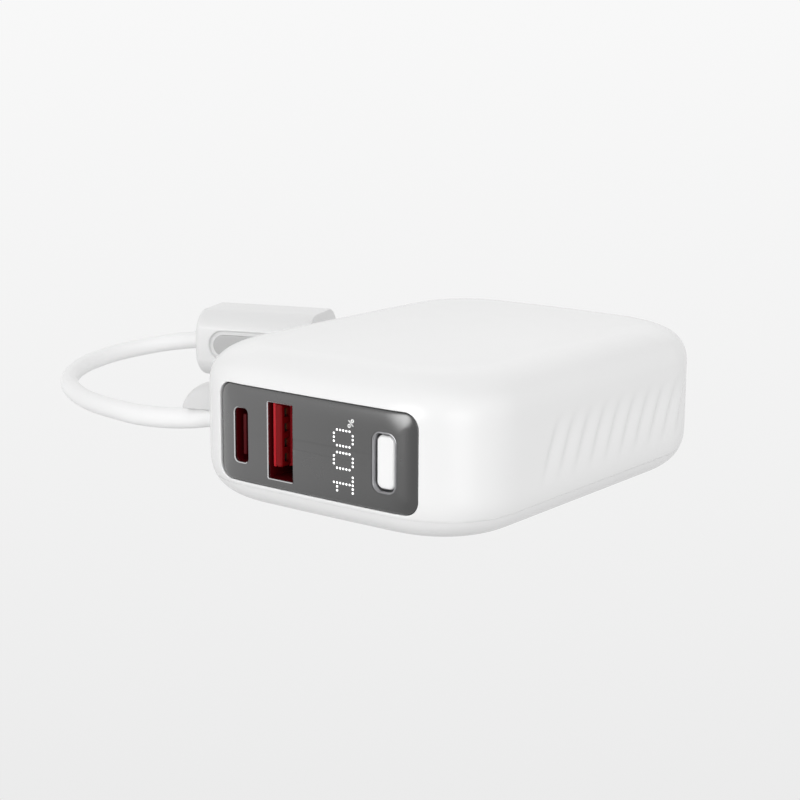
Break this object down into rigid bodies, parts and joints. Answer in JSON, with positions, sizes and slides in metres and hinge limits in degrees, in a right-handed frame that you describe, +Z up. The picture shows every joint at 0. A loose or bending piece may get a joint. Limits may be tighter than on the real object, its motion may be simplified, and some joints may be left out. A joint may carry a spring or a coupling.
{
  "type": "power bank",
  "caption": "Pocket power bank with a rounded white case, a grey end panel with USB ports, a battery display and a push button, and a captive lanyard cable.",
  "frame": {"origin": "middle of the case's underside, on the surface it lies on", "axes": "+X along the front panel from the ports to the button, +Y from the front panel to the far end, +Z up"},
  "size_m": [0.1474, 0.0989, 0.0269],
  "materials": {
    "case_white": "satin",
    "panel_grey": "polished, with a rolled edge",
    "ring_silver": "polished",
    "button_white": "gloss",
    "steel": "bright drawn",
    "port_red": "moulded, slightly glossy",
    "contact_gold": "plated",
    "inner_black": "moulded",
    "board_green": "solder mask",
    "foam_grey": "foam",
    "cell_silver": "laminated foil",
    "nickel": "plated strip",
    "lead_red": "silicone sleeve",
    "lead_black": "silicone sleeve",
    "cable_white": "soft matt sleeve",
    "grip_grey": "satin inlay"
  },
  "bodies": {
    "case": {"upper_shell": "case_white", "bottom_cover": "case_white", "front_panel": "panel_grey", "panel_gasket": "foam_grey", "panel_frame": "inner_black", "button_ring": "ring_silver", "tact_switch": "steel", "digit_display": "inner_black", "display_board": "board_green", "main_board": "board_green", "port_board": "board_green", "board_connector": "inner_black", "usb_a_shell": "steel", "usb_a_tongue": "port_red", "usb_a_contacts": "contact_gold", "usb_c_shell": "steel", "usb_c_tongue": "port_red", "usb_c_contacts": "contact_gold", "power_inductor": "foam_grey", "controller_chip": "inner_black", "boost_transistor": "inner_black", "filter_capacitor_1": "cell_silver", "filter_capacitor_2": "cell_silver", "board_post_1": "inner_black", "board_post_2": "inner_black", "board_screw_left": "steel", "board_screw_right": "steel", "cell_rack": "inner_black", "cell_lower": "cell_silver", "cell_upper": "cell_silver", "cell_foam": "foam_grey", "cell_tape": "foam_grey", "tab_strip_positive": "nickel", "tab_strip_negative": "nickel", "battery_lead_positive": "lead_red", "battery_lead_negative": "lead_black", "cable_boot": "cable_white", "cable_inner_lead": "cable_white", "lanyard_cable": "cable_white", "plug_housing": "case_white", "plug_grip": "grip_grey", "plug_shell": "steel", "plug_insulator": "inner_black", "plug_contacts": "contact_gold"},
    "button": {"power_button": "button_white", "switch_plunger": "inner_black"}
  },
  "joints": [
    {"name": "button_press", "type": "slide", "parent": "case", "child": "button", "axis": [0, 1, 0], "range_m": [0, 0.0004], "stiffness_N_per_m": 2500}
  ]
}
